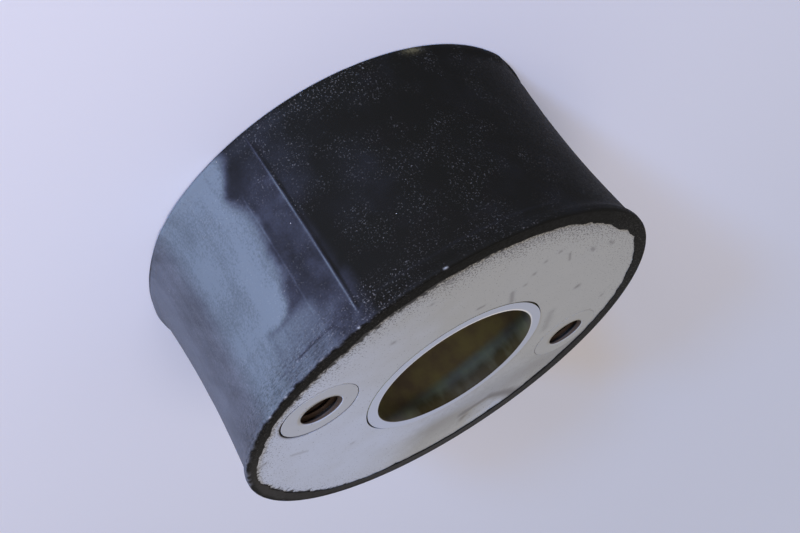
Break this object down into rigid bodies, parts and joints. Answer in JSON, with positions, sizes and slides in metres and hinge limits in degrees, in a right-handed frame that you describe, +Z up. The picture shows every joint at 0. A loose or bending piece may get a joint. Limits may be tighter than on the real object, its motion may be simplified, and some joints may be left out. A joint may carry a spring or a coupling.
{
  "type": "vibration isolator mount",
  "caption": "Ring-shaped rubber mount bonded between two steel plates with threaded inserts, and a steel sleeve lining its central bore.",
  "frame": {"origin": "centre of the lower end, in the plane of the lower rubber rim and the sleeve's lower end", "axes": "+Z up along the bore's axis, the upper plate at the top; the threaded inserts of both plates lie on the X axis"},
  "size_m": [0.1, 0.1, 0.047],
  "materials": {
    "moulded_rubber": "satin",
    "plate_steel": "matte",
    "sleeve_steel": "satin",
    "insert_steel": "satin"
  },
  "bodies": {
    "root": {"rubber_body": "moulded_rubber", "top_plate": "plate_steel", "bottom_plate": "plate_steel", "bore_sleeve": "sleeve_steel", "top_insert_1": "insert_steel", "top_insert_2": "insert_steel", "bottom_insert_1": "insert_steel", "bottom_insert_2": "insert_steel"}
  },
  "joints": []
}
